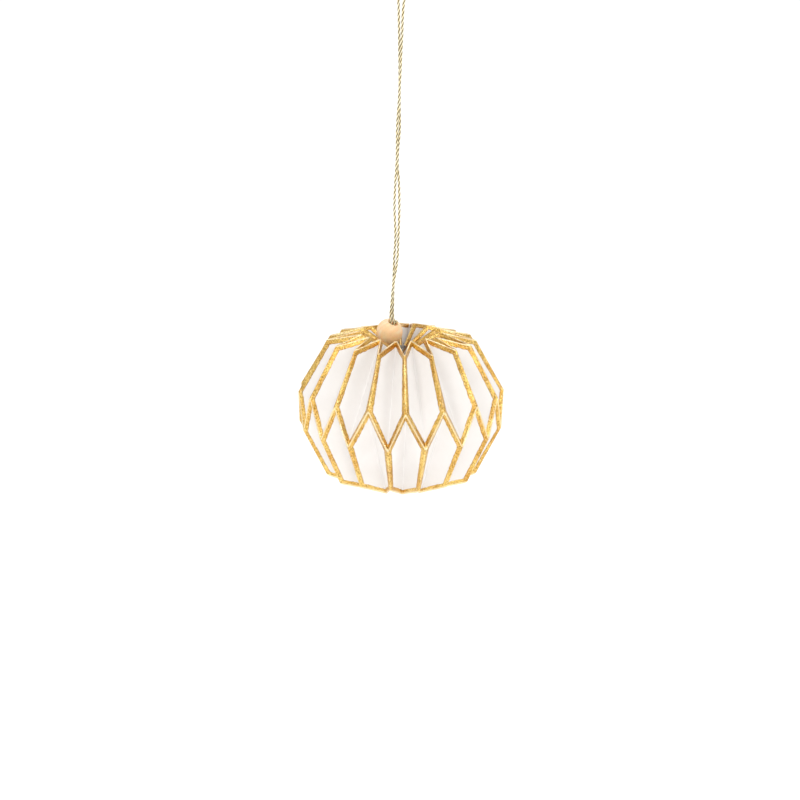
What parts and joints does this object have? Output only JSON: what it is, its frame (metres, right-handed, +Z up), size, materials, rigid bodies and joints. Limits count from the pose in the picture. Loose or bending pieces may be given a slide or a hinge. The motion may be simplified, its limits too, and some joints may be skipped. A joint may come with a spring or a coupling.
{
  "type": "pleated paper ball ornament",
  "caption": "Round hanging ornament folded from one pleated paper sheet with gilded ridges, gathered by threads and hung from a wooden bead on a twisted cord loop.",
  "frame": {"origin": "top of the hanging loop, on the ball's axis", "axes": "+Z up along the ball's axis, -Y towards the front, +X to the right"},
  "size_m": [0.0806, 0.0804, 0.1971],
  "materials": {
    "paper": "matt uncoated heavy paper",
    "gilding": "bright foil stamped on paper",
    "magnet": "plated",
    "thread": "white sewing thread",
    "bead_wood": "pale turned wood, smooth",
    "cord": "twisted metallic cord"
  },
  "bodies": {
    "root": {"paper_ball": "paper", "gilt_edging": "gilding", "inner_magnet": "magnet", "outer_magnet": "magnet", "top_thread": "thread", "bottom_thread": "thread", "bead": "bead_wood", "cord_knot": "cord", "hanging_cord": "cord"}
  },
  "joints": []
}
